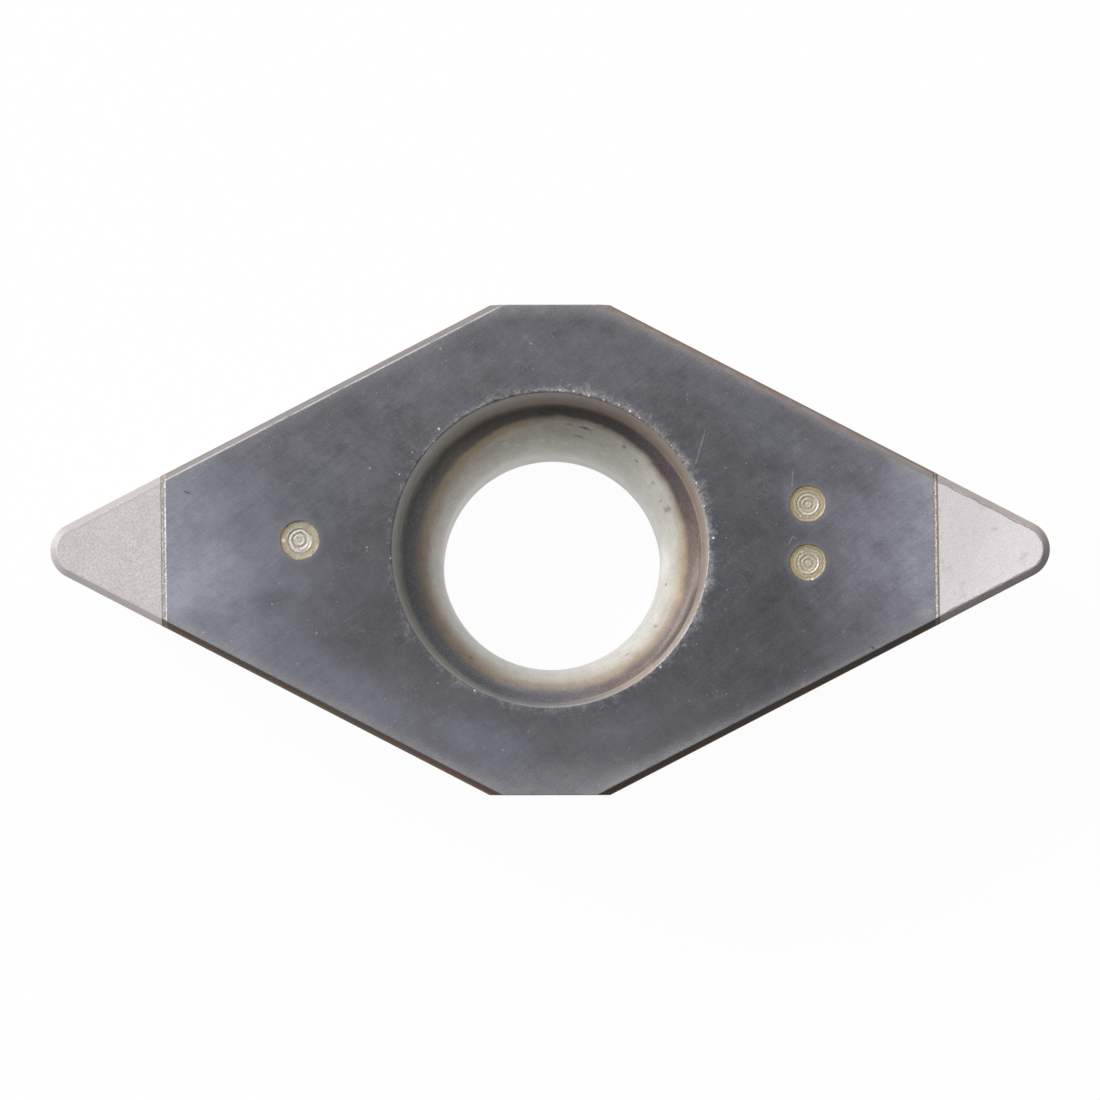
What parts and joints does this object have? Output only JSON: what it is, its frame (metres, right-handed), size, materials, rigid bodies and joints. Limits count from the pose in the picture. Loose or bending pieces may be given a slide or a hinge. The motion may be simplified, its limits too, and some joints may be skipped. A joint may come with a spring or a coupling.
{
  "type": "carbide insert",
  "caption": "Small rhombic turning insert with a countersunk fixing hole, flat top, relieved flanks and light superhard tips brazed into its pointed corners.",
  "frame": {"origin": "on the axis of the fixing hole, in the plane of the flat seat under the insert", "axes": "+X along the long diagonal towards the pointed corner with the pair of marks (right in the picture), +Y towards a blunt corner (up in the picture), +Z along the hole's axis, out of the top face"},
  "size_m": [0.0128, 0.0064, 0.0024],
  "materials": {
    "carbide": "ground, dark thin coating, satin",
    "tip": "fine ground, coated pale grey-pink, satin",
    "braze": "rough, dull"
  },
  "bodies": {
    "root": {"insert_body": "carbide", "tip_left": "tip", "tip_right": "tip", "braze_left": "braze", "braze_right": "braze"}
  },
  "joints": []
}
